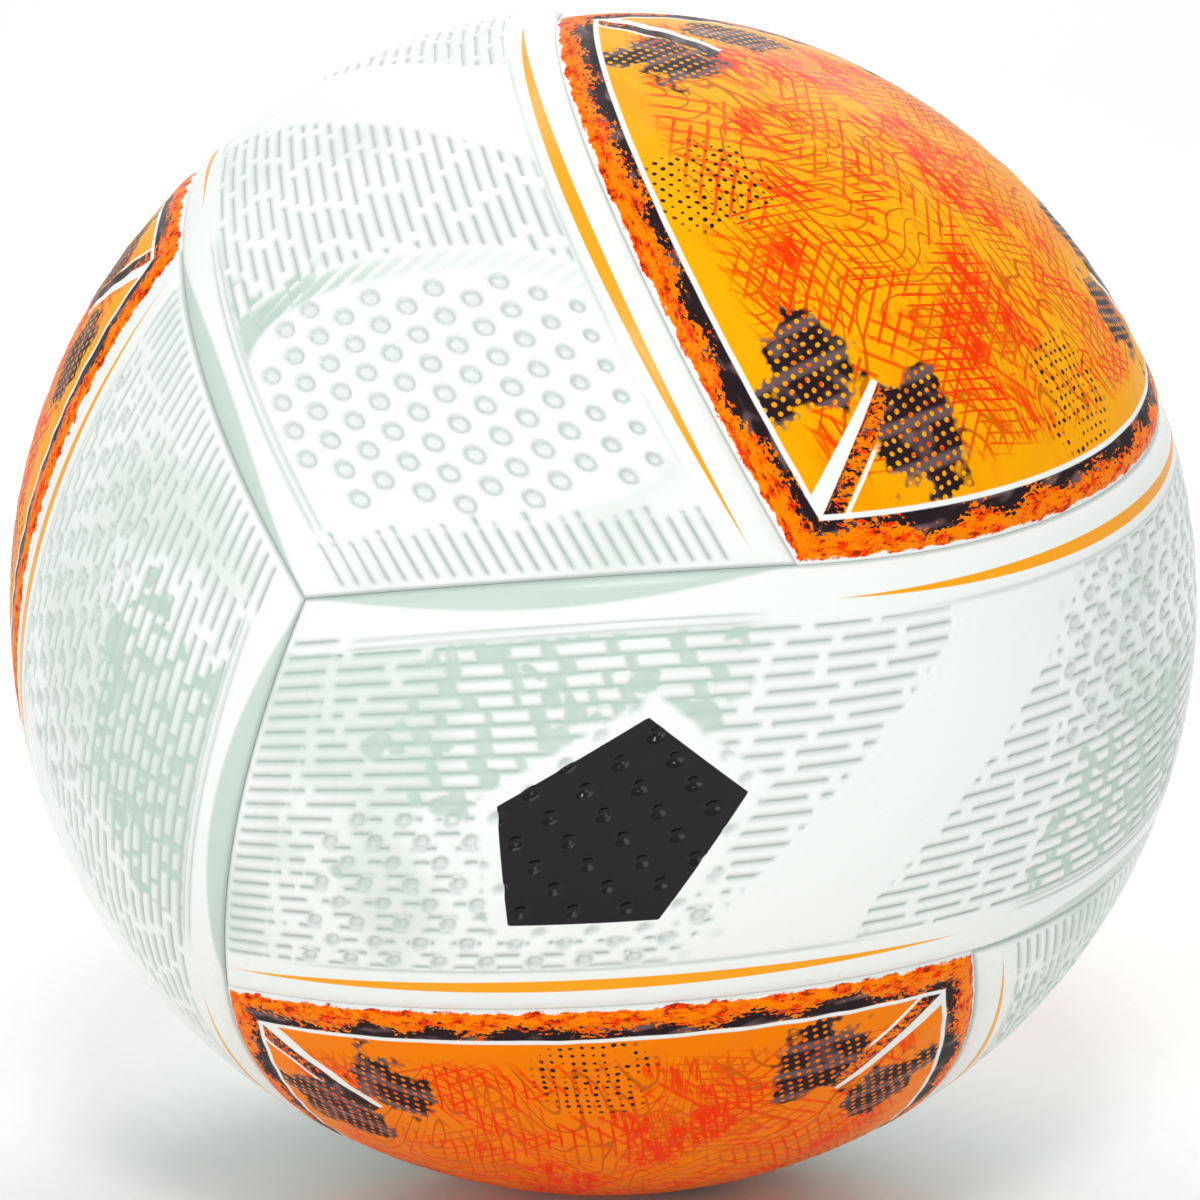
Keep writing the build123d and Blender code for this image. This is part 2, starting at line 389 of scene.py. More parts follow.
class WhitePattern:
    """What every point of a white panel's own grid is: its place, distances and embossing.

    The pattern repeats by a half turn. In each half u runs from the orange side (0) to the white one (1),
    and v in millimetres from the short end. x and y are the same in millimetres from the panel's middle.
    """

    def __init__(self, sizes):
        self.across = sizes.grooves * sizes.cells
        self.along = sizes.length_cells
        s, t = np.meshgrid(np.linspace(0, 1, self.across + 1), np.linspace(0, 1, self.along + 1))
        self.s, self.t = s.ravel(), t.ravel()
        self.way = white_patch(self.s, self.t)
        self.to_mm = sizes.radius / MM
        self.edge = nearest(self.way, white_outline())[0] * self.to_mm
        self.orange_gap, self.orange_at = self.gap_to(cap_arc(CAP_AXIS, FAR_SHARP, SIDE, FINE))
        self.white_gap, self.white_at = self.gap_to(great_arc(SIDE, THREE_WHITE, FINE))
        self.end_gap = self.gap_to(great_arc(SHARP, THREE_WHITE, FINE))[0]
        first = self.t >= 0.5
        from_end = np.where(first, 1 - self.t, self.t)
        self.u = np.where(first, self.s, 1 - self.s)
        self.v = from_end * LONG_SIDE * self.to_mm * FIELD_STRETCH
        self.half = np.where(first, 0, 1)
        self.x = (self.u - 0.5) * FIELD_WIDTH
        self.y = (0.5 - from_end) * LONG_SIDE * self.to_mm * FIELD_STRETCH

    def gap_to(self, line):
        """Millimetres to a line or its half turn, and how far along it the nearest place is, 0 to 1."""
        gap, at = nearest(self.way, np.vstack((line, line * HALF_TURN)))
        return gap * self.to_mm, FINE[at % len(FINE)]

    def emboss(self, sizes, kind, seed):
        """Depth in millimetres below the top of the cover, the share of print and the share of painted
        shade.
        """
        pitch = FIELD_WIDTH / sizes.grooves
        place = self.u * sizes.grooves
        rows, ribs = np.rint(place).astype(int), np.floor(place).astype(int)
        valley = 1 - np.abs(np.sin(math.pi * place)) ** 0.85
        on_ball = self.way * sizes.radius / MM
        blot, broad = cloud(on_ball, 7.0, seed + 3), cloud(on_ball, 26.0, seed + 4)
        run = dashes(rows, self.v, seed, 7.5, 13.0, 1.5, 2.6, 14.0)
        # the short grooves at the panel's end stop at uneven lengths
        first_end = 9.0 + (rows % 3) * 0.9 + (rows * 7 % 5) * 0.5
        start = 1 - smooth(first_end - 0.4, first_end + 0.3, self.v)
        after_start = smooth(first_end + 1.3, first_end + 2.1, self.v)
        lean = (place - ribs - 0.5) * pitch * 0.55
        solid = dashes(ribs, self.v + lean, seed + 5, 2.8, 9.0, 1.1, 3.2, 10.0)
        weave = np.maximum(smooth(0.35, 0.75, valley), 1 - solid)
        # a smooth band crosses the panel's middle, 31 degrees off square
        slope = math.radians(31)
        open_field = smooth(11.4, 12.2, self.y * math.cos(slope) + self.x * math.sin(slope))
        inside_border = smooth(8.6, 9.4, self.white_gap) * smooth(8.8, 9.6, self.orange_gap)
        groove = run * after_start
        if kind == "dimpled":
            # a rounded field of large dimples, with a printed channel of slanted ticks round its far end
            field = field_reach(self.u, self.v)
            rim = smooth(0.90, 0.96, field) * (1 - smooth(1.06, 1.12, field)) * smooth(28, 42, self.v)
            slant = np.sin((self.x * 0.8 + self.v * 1.1) * 2 * math.pi / 3.1)
            channel = rim * smooth(-0.55, 0.1, slant + 1.2 * smooth(0.55, 0.95, self.u))
            channel *= 0.35 + 0.65 * smooth(0.35, 0.8, self.u)
            corner = smooth(0.60, 0.72, self.u) * smooth(44, 50, self.v) * (1 - smooth(62, 68, self.v))
            corner *= smooth(-0.10, 0.05, blot) * smooth(0.92, 0.98, field)
            channel = np.maximum(channel, corner * weave)
            groove = np.where(corner > 0.1, np.maximum(groove, corner), groove) * smooth(1.10, 1.15, field)
            here = 1 - smooth(0.86, 0.93, field)
            field_floor = 0.13 * smooth(0.3, 0.6, here)
            tint = 0.25 * smooth(0.0, 0.5, broad) * (1 - here)
            reach, middle_x, middle_v = lattice(self.x, self.v, 2 * pitch, 5.7)
            middle_u = middle_x / FIELD_WIDTH + 0.5
            whole = field_reach(middle_u, middle_v) < 0.86
            # they get smaller towards the orange side
            dimple_r = sizes.dimple_radius / MM * (0.62 + 0.38 * smooth(0.08, 0.38, middle_u))
        else:
            # ribs broken up by printed channels near the white side, small dimples near the orange side
            envelope = smooth(0.46, 0.60, self.u) * smooth(18, 34, self.v) * (1 - smooth(66, 86, self.v))
            zone = smooth(0.42, 0.55, envelope + 0.55 * blot)
            channel = zone * np.maximum(weave, smooth(0.34, 0.42, blot))
            groove = groove * (1 - zone) + zone
            here = (1 - smooth(0.50, 0.54, self.u)) * smooth(0.10, 0.13, self.u)
            here *= smooth(15, 17, self.v) * (1 - smooth(82, 90, self.v + 20 * (self.u - 0.3)))
            broken = dashes(rows, self.v, seed + 2, 3.5, 6.5, 2.0, 3.6, 10.0)
            groove = np.where((here > 0.5) & (zone < 0.5), broken * after_start, groove)
            field_floor = 0.0
            tint = 0.45 * smooth(-0.25, 0.35, broad) * (1 - smooth(55, 85, self.v))
            tint *= smooth(5, 9, self.white_gap)
            reach, middle_x, middle_v = lattice(self.x, self.v, 1.5 * pitch, 7.9)
            middle_u = middle_x / FIELD_WIDTH + 0.5
            whole = (middle_u > 0.12) & (middle_u < 0.51)
            whole &= (middle_v > 16) & (middle_v + 20 * (middle_u - 0.3) < 85)
            dimple_r = sizes.fine_dimple_radius / MM
        # a dimple is pressed whole or not at all, and a raised ring is left round each in the pressed floor
        dimples = bowl(reach, dimple_r) * whole
        ring = ridge(reach - dimple_r - 0.35, 0.4) * whole
        pressed = field_floor * (1 - ring)
        groove = np.maximum(groove, start) * self.inside_border_or_end(inside_border)
        groove *= 1 - (1 - smooth(dimple_r, dimple_r + 0.8, reach)) * whole
        groove *= open_field
        # two fine lines run beside the smooth border of the white side, one beside the crescent line
        clear_of_ends = smooth(9, 12, self.end_gap)
        fine = np.maximum(ridge(self.white_gap - 7.3, 0.34), ridge(self.white_gap - 8.6, 0.34))
        fine *= smooth(0.04, 0.14, self.white_at) * (1 - smooth(0.92, 0.98, self.white_at)) * clear_of_ends
        beside = ridge(self.orange_gap - 8.6, 0.4) * smooth(0.1, 0.25, self.orange_at)
        beside *= (1 - smooth(0.75, 0.9, self.orange_at)) * smooth(10, 12, self.end_gap)
        cut = valley * groove
        channel = channel * inside_border * open_field * smooth(12.5, 13.5, self.v)
        depth = np.maximum(cut * sizes.groove_depth, channel * sizes.channel_depth) / MM
        depth = np.maximum(depth, dimples * open_field * sizes.dimple_depth / MM + pressed * open_field)
        depth = np.maximum(depth, np.maximum(fine * 0.34, beside * 0.24))
        share = np.clip(np.maximum(channel, tint * open_field * inside_border), 0, 1)
        lip = ridge(reach - 0.8 * dimple_r, 0.45) * whole * open_field
        # painted shade: where the groove grey goes, in groove bottoms, round the dimples' lips, in dimples
        # and in the fine lines
        shade = np.maximum.reduce((cut, lip * 0.75, dimples * 0.25, fine * 0.7, beside * 0.6))
        return depth, share, np.clip(shade, 0, 1)

    def inside_border_or_end(self, inside_border):
        """Where grooves may lie: inside the side borders, and out to the seam at the short ends."""
        near_end = 1 - smooth(9.0, 11.0, self.v)
        reach_end = smooth(0.9, 1.8, self.end_gap) * smooth(5.5, 7.0, self.white_gap)
        reach_end *= smooth(8.4, 9.6, self.orange_gap)
        return np.maximum(inside_border * (1 - near_end), reach_end * near_end)


def field_reach(u, v):
    """How far out a place lies in the rounded field of large dimples: 1 at the field's edge."""
    fu, fv = (u - 0.49) / 0.45, (v - 34.5) / 25.0
    return (np.abs(fu) ** 2.6 + np.abs(fv) ** 2.6) ** (1 / 2.6)


def seam_drop(edge, width, depth):
    """How far the cover has rolled down at a distance from its edge."""
    return depth * (1 - np.clip(edge / width, 0, 1)) ** 2.1


def patch_distance(x, y, middle, size):
    """Millimetres out from the edge of a plain five-sided patch, less than 0 inside it."""
    x, y = x - middle[0], y - middle[1]
    apothem = size * math.cos(math.pi / 5)
    sides = [x * math.cos(a) + y * math.sin(a) for a in (math.radians(36 + 72 * k) for k in range(5))]
    return np.max(sides, axis=0) - apothem


# ---------------------------------------------------------------- making the meshes


def deselect_all():
    if bpy.context.object and bpy.context.object.mode != "OBJECT":
        bpy.ops.object.mode_set(mode="OBJECT")
    bpy.ops.object.select_all(action="DESELECT")


def only(piece):
    deselect_all()
    piece.select_set(True)
    bpy.context.view_layer.objects.active = piece


def grid_piece(name, across, along):
    """A flat grid primitive, ready to be drawn over the ball."""
    deselect_all()
    bpy.ops.mesh.primitive_grid_add(x_subdivisions=across, y_subdivisions=along, size=2.0)
    piece = bpy.context.object
    piece.name = piece.data.name = name
    return piece


def write_attribute(mesh, name, values):
    kind, field = ("FLOAT_VECTOR", "vector") if values.ndim == 2 else ("FLOAT", "value")
    layer = mesh.attributes.get(name) or mesh.attributes.new(name, kind, "POINT")
    layer.data.foreach_set(field, values.astype(np.float32).ravel())


def read_points(mesh):
    flat = np.empty(len(mesh.vertices) * 3, np.float32)
    mesh.vertices.foreach_get("co", flat)
    return flat.reshape(-1, 3).astype(float)


def write_points(mesh, points):
    mesh.vertices.foreach_set("co", points.astype(np.float32).ravel())
    mesh.update()


def give_wall(piece, thickness, floor_radius, keep):
    """Thickens a sheet inwards, sets its inner face on a plain sphere and thins that face's mesh."""
    count = len(piece.data.vertices)
    only(piece)
    wall = piece.modifiers.new("Wall", "SOLIDIFY")
    wall.thickness, wall.offset = thickness, -1
    wall.use_quality_normals = True
    bpy.ops.object.modifier_apply(modifier=wall.name)
    points = read_points(piece.data)
    inner = np.arange(len(points)) >= count
    if inner.sum() != count:
        raise RuntimeError(f"{piece.name}: {inner.sum()} inner points for {count} outer ones")
    points[inner] = unit(points[:count]) * floor_radius
    write_points(piece.data, points)
    select_points(piece, inner)
    bpy.ops.object.mode_set(mode="EDIT")
    bpy.ops.mesh.select_mode(type="VERT")
    bpy.ops.mesh.select_less()
    bpy.ops.mesh.decimate(ratio=keep)
    bpy.ops.object.mode_set(mode="OBJECT")


def select_points(piece, chosen):
    """Selects the mesh's vertices where chosen is true, with their edges and faces."""
    mesh = piece.data
    mesh.vertices.foreach_set("select", chosen)
    ends = np.empty(len(mesh.edges) * 2, np.int32)
    mesh.edges.foreach_get("vertices", ends)
    mesh.edges.foreach_set("select", chosen[ends.reshape(-1, 2)].all(axis=1))
    corner = np.empty(len(mesh.loops), np.int32)
    mesh.loops.foreach_get("vertex_index", corner)
    starts = np.empty(len(mesh.polygons), np.int32)
    mesh.polygons.foreach_get("loop_start", starts)
    mesh.polygons.foreach_set("select", np.logical_and.reduceat(chosen[corner], starts))


def finish_piece(piece, material, body, node):
    """Shades a piece, gives it its material, attaches it to its body and hides the CAD node that it takes
    the place of.
    """
    only(piece)
    bpy.ops.object.transform_apply(location=True, rotation=True, scale=True)
    bpy.ops.object.shade_smooth_by_angle(angle=math.radians(50))
    piece.data.materials.clear()
    piece.data.materials.append(material)
    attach(piece, body)
    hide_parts(node)


def turn_piece(piece, turn):
    write_points(piece.data, read_points(piece.data) @ turn.T)


def place_copy(master, name, turn):
    """A copy of a piece, with its own mesh, turned to its place on the ball."""
    only(master)
    bpy.ops.object.duplicate(linked=False)
    piece = bpy.context.object
    piece.name = piece.data.name = name
    turn_piece(piece, turn)
    return piece


# ---------------------------------------------------------------- materials


BLEND = {"out": 2, "data_type": "RGBA"}                # settings of a Mix of two colours
SOFT = {"interpolation_type": "SMOOTHSTEP"}            # setting of a Map Range with soft ends
# painted shade for the pressed seams
SEAM_SHADE = linear("#A9B5AF")
CONTOUR_INK = linear("#C45A00")
HATCH_INK = linear("#E86400")
BURNT_INK = linear("#8A2A08")
# painted sheen on the dark print
PAINTED_SHEEN_GREY = linear("#7A6264")


def put(tree, kind, inputs=(), out=0, **settings):
    """Adds a node, makes its settings, fills or links its inputs and gives one of its outputs.

    Inputs are values or sockets, in the node's own order or by name or number.
    """
    node = tree.nodes.new("ShaderNode" + kind)
    for name, value in settings.items():
        setattr(node, name, value)
    for socket, value in inputs.items() if isinstance(inputs, dict) else enumerate(inputs):
        if isinstance(value, bpy.types.NodeSocket):
            tree.links.new(value, node.inputs[socket])
        else:
            node.inputs[socket].default_value = value
    return node if out is None else node.outputs[out]


def new_material(name, colour, **shader):
    """A material with a Principled shader whose plain values are set on its own sockets."""
    material = bpy.data.materials.new(name)
    material.use_nodes = True
    tree = material.node_tree
    tree.nodes.clear()
    surface = put(tree, "BsdfPrincipled", {"Base Color": colour}, out=None)
    for socket, value in shader.items():
        surface.inputs[socket.replace("_", " ")].default_value = value
    put(tree, "OutputMaterial", {"Surface": surface.outputs[0]}, out=None)
    material.diffuse_color = colour
    return material, tree, surface


def attribute_parts(tree, name):
    """The three values that a piece's attribute holds."""
    whole = put(tree, "Attribute", out="Vector", attribute_name=name)
    return tuple(put(tree, "SeparateXYZ", (whole,), out=None).outputs)


def bowed(tree, share, height):
    """0 at both ends of a seam and a height in millimetres at its middle."""
    turn = put(tree, "Math", (share, math.pi), operation="MULTIPLY")
    wave = put(tree, "Math", (turn,), operation="SINE")
    return put(tree, "Math", (wave, height), operation="MULTIPLY")


def film_surface(tree, surface, lay, low, high):
    """Film grain of 0.4 mm, hardly raised; gives a roughness that varies over about 12 mm."""
    grain = put(tree, "TexNoise", {"Vector": lay, "Scale": 2.5, "Detail": 2.0})
    bump = put(tree, "Bump", {"Strength": 0.06, "Distance": 0.0001, "Height": grain})
    tree.links.new(bump, surface.inputs["Normal"])
    gloss = put(tree, "TexNoise", {"Vector": lay, "Scale": 0.08, "Detail": 2.0})
    return put(tree, "MapRange", (gloss, 0.3, 0.7, low, high))


def printed_white_cover(colours):
    """Satin polyurethane film over embossed microfibre, white with a grey-green print.

    The film is smooth and a little glossy, so grooves and dimples show by soft light on their edges; painted
    shade also greys their bottoms, their lips and the fine lines.
    """
    material, tree, surface = new_material(
        "printed_white_polyurethane", colours.white, Roughness=0.3, IOR=1.5, Specular_IOR_Level=0.32)
    lay = put(tree, "Attribute", out="Vector", attribute_name="lay")
    orange_gap, orange_at, _ = attribute_parts(tree, "stripe")
    white_gap, white_at, edge = attribute_parts(tree, "border")
    # the second value of marks is the share of painted shade in grooves, dimples, dimple lips and fine lines
    print_share, groove, off_patch = attribute_parts(tree, "marks")
    # print in the channels, with slightly uneven ink, blots of about 5 mm
    ink = put(tree, "TexNoise", {"Vector": lay, "Scale": 0.2, "Detail": 3.0, "Roughness": 0.6})
    ink = put(tree, "MapRange", (ink, 0.3, 0.7, 0.75, 1.0))
    channel = put(tree, "Math", (print_share, ink), operation="MULTIPLY")
    # a soft lens of print lies along the white seam, 4.6 mm wide at its middle
    lens = put(tree, "Math", (bowed(tree, white_at, 4.6), white_gap), operation="SUBTRACT")
    lens = put(tree, "MapRange", (lens, -0.2, 0.6, 0.0, 0.8), **SOFT)
    # painted shade darkens the pressed seam in its last 0.8 mm
    seam = put(tree, "MapRange", (edge, 0.1, 0.8, 0.75, 0.0), **SOFT)
    # the crescent line lies 5.6 mm from the orange seam and thins to nothing at both ends
    half = put(tree, "Math", (bowed(tree, orange_at, 1.30), 0.16), operation="SUBTRACT")
    off = put(tree, "Math", (orange_gap, 5.6), operation="SUBTRACT")
    off = put(tree, "Math", (off,), operation="ABSOLUTE")
    line = put(tree, "Math", (half, off), operation="SUBTRACT")
    line = put(tree, "MapRange", (line, -0.05, 0.08))
    # the dark patch has a crisp printed edge
    inside = put(tree, "MapRange", (off_patch, 0.06, -0.06))
    # the groove grey and the seam grey are painted shade; the mint, the crescent line and the patch are
    # print
    colour = colours.white
    for share, over in ((groove, colours.groove), (channel, colours.mint), (lens, colours.mint),
                        (seam, SEAM_SHADE), (line, colours.line), (inside, colours.patch)):
        colour = put(tree, "Mix", {0: share, 6: colour, 7: over}, **BLEND)
    tree.links.new(colour, surface.inputs["Base Color"])
    # the patch is glossier than the rest
    gloss = film_surface(tree, surface, lay, 0.24, 0.34)
    gloss = put(tree, "Mix", {0: inside, 2: gloss, 3: 0.16}, data_type="FLOAT")
    tree.links.new(gloss, surface.inputs["Roughness"])
    return material


def orange_ground(tree, colours, flat):
    """Yellow above and orange below, with long soft streaks of deeper orange about 9 mm apart."""
    up = put(tree, "SeparateXYZ", (put(tree, "TexCoord", out="Object"),), out="Z")
    ground = put(tree, "MapRange", (up, -0.055, 0.06), **SOFT)
    colour = put(tree, "Mix", {0: ground, 6: colours.orange, 7: colours.yellow}, **BLEND)
    wisp = put(tree, "Mapping", {"Vector": flat, "Scale": (0.035, 0.11, 1.0)})
    wisp = put(tree, "TexNoise", {"Vector": wisp, "Scale": 1.0, "Detail": 2.0, "Distortion": 1.2})
    wisp = put(tree, "MapRange", (wisp, 0.5, 0.72, 0.0, 0.35), **SOFT)
    return put(tree, "Mix", {0: wisp, 6: colour, 7: colours.orange}, **BLEND)


def hatched(tree, colours, flat, field, colour):
    """Contour lines, brushed masses and four families of hand-drawn lines, laid over a colour."""
    # thin brown contour lines wander over all of the field
    contour = put(tree, "Mapping", {"Vector": flat, "Rotation": (0.0, 0.0, 0.7), "Scale": (0.7, 1.5, 1.0)})
    contour = put(tree, "TexNoise", {"Vector": contour, "Scale": 0.026, "Detail": 1.6, "Roughness": 0.4,
                                     "Distortion": 0.5})
    contour = put(tree, "Math", (contour, 26.0), operation="MULTIPLY")
    contour = put(tree, "Math", (contour,), operation="FRACT")
    contour = put(tree, "Math", (contour, 0.5), operation="SUBTRACT")
    contour = put(tree, "Math", (contour,), operation="ABSOLUTE")
    contour = put(tree, "MapRange", (contour, 0.085, 0.035, 0.0, 0.8))
    contour = put(tree, "Math", (contour, field), operation="MULTIPLY")
    # brushed masses of red-orange, broken into strokes about 1.5 mm wide
    mass = put(tree, "TexNoise", {"Vector": flat, "Scale": 0.04, "Detail": 2.0})
    mass = put(tree, "MapRange", (mass, 0.51, 0.60), **SOFT)
    stroke = put(tree, "Mapping", {"Vector": flat, "Rotation": (0.0, 0.0, 0.6), "Scale": (0.12, 0.62, 1.0)})
    stroke = put(tree, "TexNoise", {"Vector": stroke, "Scale": 1.0, "Detail": 3.0, "Roughness": 0.7})
    stroke = put(tree, "MapRange", (stroke, 0.46, 0.54))
    mass = put(tree, "Math", (mass, stroke), operation="MULTIPLY")
    mass = put(tree, "Math", (mass, field), operation="MULTIPLY")
    # each family of lines lies in its own blots, and its colour goes from brown-orange to red
    heat = put(tree, "TexNoise", {"Vector": flat, "Scale": 0.09, "Detail": 2.0})
    heat = put(tree, "MapRange", (heat, 0.38, 0.54), **SOFT)
    hatch = put(tree, "Mix", {0: heat, 6: HATCH_INK, 7: colours.flame}, **BLEND)
    layers = [(contour, CONTOUR_INK), (mass, colours.flame)]
    for turn, pitch, place, low, high, strength in (
            (0.35, 1.9, 3.0, 0.48, 0.53, 0.95), (1.55, 2.2, 11.0, 0.48, 0.54, 0.95),
            (2.5, 2.6, 23.0, 0.48, 0.53, 0.85), (0.95, 3.4, 37.0, 0.46, 0.51, 0.75)):
        turned = put(tree, "Mapping", {"Vector": flat, "Rotation": (0.0, 0.0, turn),
                                       "Location": (place, place, 0.0)})
        lines = put(tree, "TexWave", {"Vector": turned, "Scale": ONE_BAND / pitch, "Distortion": 7.5,
                                      "Detail": 2.0, "Detail Scale": 0.16, "Detail Roughness": 0.6},
                    out="Fac", wave_type="BANDS", bands_direction="X")
        lines = put(tree, "MapRange", (lines, 0.82, 0.94), **SOFT)
        blot = put(tree, "TexNoise", {"Vector": turned, "Scale": 0.045, "Detail": 3.0, "Roughness": 0.65})
        blot = put(tree, "MapRange", (blot, low, high, 0.0, strength), **SOFT)
        share = put(tree, "Math", (lines, blot), operation="MULTIPLY")
        layers.append((put(tree, "Math", (share, field), operation="MULTIPLY"), hatch))
    for share, over in layers:
        colour = put(tree, "Mix", {0: share, 6: colour, 7: over}, **BLEND)
    return colour


def dot_screens(tree, colours, flat, colour):
    """Dots 1.8 mm apart: dark ones near the sides' middles, light ones on dark near the corners."""
    mid_gap, screen_gap, _ = attribute_parts(tree, "middle")
    steps = put(tree, "VectorMath", (flat, (1 / 1.8, 1 / 1.8, 1.0)), operation="MULTIPLY")
    wobble = put(tree, "TexNoise", {"Vector": flat, "Scale": 0.12, "Detail": 1.0}, out="Color")
    steps = put(tree, "VectorMath", (steps, wobble), operation="ADD")
    cell = put(tree, "VectorMath", (steps,), operation="FRACTION")
    cell = put(tree, "VectorMath", (cell, (0.5, 0.5, 0.0)), operation="SUBTRACT")
    cell = put(tree, "VectorMath", (cell, (1.0, 1.0, 0.0)), operation="MULTIPLY")
    from_dot = put(tree, "VectorMath", (cell,), out="Value", operation="LENGTH")
    uneven = put(tree, "TexNoise", {"Vector": flat, "Scale": 0.5, "Detail": 1.0})
    uneven = put(tree, "MapRange", (uneven, 0.3, 0.7, 0.12, -0.10))
    dot = put(tree, "Math", (from_dot, uneven), operation="ADD")
    dot = put(tree, "MapRange", (dot, 0.24, 0.17))
    patchy = put(tree, "TexNoise", {"Vector": flat, "Scale": 0.07, "Detail": 3.0, "Roughness": 0.7})
    near_mid = put(tree, "MapRange", (mid_gap, 12.5, 9.5), **SOFT)
    torn = put(tree, "MapRange", (patchy, 0.42, 0.47))
    near_mid = put(tree, "Math", (near_mid, torn), operation="MULTIPLY")
    dots = put(tree, "Math", (dot, near_mid), operation="MULTIPLY")
    ragged = put(tree, "MapRange", (patchy, 0.3, 0.7, -6.0, 6.0))
    screen = put(tree, "Math", (screen_gap, ragged), operation="ADD")
    screen = put(tree, "MapRange", (screen, 10.0, 8.6))
    hole = put(tree, "MapRange", (from_dot, 0.21, 0.28))
    screen = put(tree, "Math", (screen, hole), operation="MULTIPLY")
    # painted sheen lightens the dark ink in blots and in bars 7 mm apart
    sheen_share = put(tree, "TexNoise", {"Vector": flat, "Scale": 0.16, "Detail": 2.0})
    sheen_share = put(tree, "MapRange", (sheen_share, 0.54, 0.72))
    bars = put(tree, "Mapping", {"Vector": flat, "Rotation": (0.0, 0.0, 0.2)})
    bars = put(tree, "TexWave", {"Vector": bars, "Scale": ONE_BAND / 7.0, "Distortion": 2.5,
                                 "Detail Scale": 0.2}, out="Fac")
    bars = put(tree, "MapRange", (bars, 0.68, 0.95, 0.0, 0.8))
    sheen_share = put(tree, "Math", (sheen_share, bars), operation="MAXIMUM")
    ink = put(tree, "Mix", {0: sheen_share, 6: colours.dark, 7: PAINTED_SHEEN_GREY}, **BLEND)
    for share, over in ((dots, colours.dark), (screen, ink)):
        colour = put(tree, "Mix", {0: share, 6: colour, 7: over}, **BLEND)
    return colour


def torn_strip(tree, colours, trace, edge):
    """The edge strip's colour, in orange, red and dark print, and how far its border is torn in mm.

    Its marks run along the edge, so they are drawn in the edge's own length and distance.
    """
    run = put(tree, "CombineXYZ", (trace, edge, 0.0))
    speck = put(tree, "Mapping", {"Vector": run, "Scale": (0.8, 1.3, 1.0)})
    speck = put(tree, "TexNoise", {"Vector": speck, "Scale": 1.0, "Detail": 2.0, "Roughness": 0.6})
    daub = put(tree, "Mapping", {"Vector": run, "Scale": (0.28, 0.62, 1.0)})
    daub = put(tree, "TexNoise", {"Vector": daub, "Scale": 1.0, "Detail": 4.0, "Roughness": 0.7})
    red = put(tree, "MapRange", (daub, 0.47, 0.60))
    bits = put(tree, "Math", (speck, daub), operation="ADD")
    bits = put(tree, "MapRange", (bits, 1.10, 1.16, 0.0, 0.8))
    # dark blocks, mostly at the strip's inner side, with a painted gleam
    blocks = put(tree, "Mapping", {"Vector": run, "Scale": (0.075, 0.02, 1.0)})
    blocks = put(tree, "TexNoise", {"Vector": blocks, "Scale": 1.0, "Detail": 1.0})
    rough = put(tree, "MapRange", (speck, 0.3, 0.7, -0.17, 0.17))
    blocks = put(tree, "Math", (blocks, rough), operation="ADD")
    inner = put(tree, "MapRange", (edge, 1.4, 5.6, -0.30, 0.13))
    blocks = put(tree, "Math", (blocks, inner), operation="ADD")
    blocks = put(tree, "MapRange", (blocks, 0.485, 0.51))
    gleam = put(tree, "Mapping", {"Vector": run, "Scale": (0.16, 0.35, 1.0)})
    gleam = put(tree, "TexNoise", {"Vector": gleam, "Scale": 1.0, "Detail": 1.0})
    gleam = put(tree, "MapRange", (gleam, 0.52, 0.70, 0.0, 0.8), **SOFT)
    black = put(tree, "Mix", {0: gleam, 6: colours.dark, 7: PAINTED_SHEEN_GREY}, **BLEND)
    strip = colours.orange
    for share, over in ((red, colours.flame), (bits, BURNT_INK), (blocks, black)):
        strip = put(tree, "Mix", {0: share, 6: strip, 7: over}, **BLEND)
    torn = put(tree, "MapRange", (daub, 0.25, 0.75, -0.65, 0.65))
    outer = put(tree, "Math", (edge, torn), operation="ADD")
    outer = put(tree, "MapRange", (outer, 0.5, 0.7))
    return put(tree, "Mix", {0: outer, 6: colours.white, 7: strip}, **BLEND), torn


def corner_bars(tree, colours, along, side, strip, torn, colour):
    """A white bar, a strip and a fine white line from each corner towards the panel's middle."""
    reach = put(tree, "MapRange", (along, 34.0, 33.6))
    taper = put(tree, "MapRange", (along, 8.0, 34.0, 1.0, 0.35))
    bar_from = put(tree, "Math", (taper, -3.4), operation="MULTIPLY")
    bar = put(tree, "Math", (side, bar_from), operation="SUBTRACT")
    bar = put(tree, "MapRange", (bar, -0.1, 0.1))
    bar_end = put(tree, "MapRange", (side, 0.1, -0.1))
    bar = put(tree, "Math", (bar, bar_end), operation="MULTIPLY")
    bar = put(tree, "Math", (bar, reach), operation="MULTIPLY")
    band_from = put(tree, "MapRange", (side, -0.1, 0.1))
    band = put(tree, "Math", (side, torn), operation="ADD")
    band = put(tree, "MapRange", (band, 3.3, 3.1))
    band = put(tree, "Math", (band_from, band), operation="MULTIPLY")
    band = put(tree, "Math", (band, reach), operation="MULTIPLY")
    rim = put(tree, "Math", (side, 3.9), operation="SUBTRACT")
    rim = put(tree, "Math", (rim,), operation="ABSOLUTE")
    rim = put(tree, "MapRange", (rim, 0.45, 0.35))
    rim_end = put(tree, "MapRange", (along, 24.0, 22.0))
    rim = put(tree, "Math", (rim, rim_end), operation="MULTIPLY")
    for share, over in ((band, strip), (bar, colours.white), (rim, colours.white)):
        colour = put(tree, "Mix", {0: share, 6: colour, 7: over}, **BLEND)
    return colour


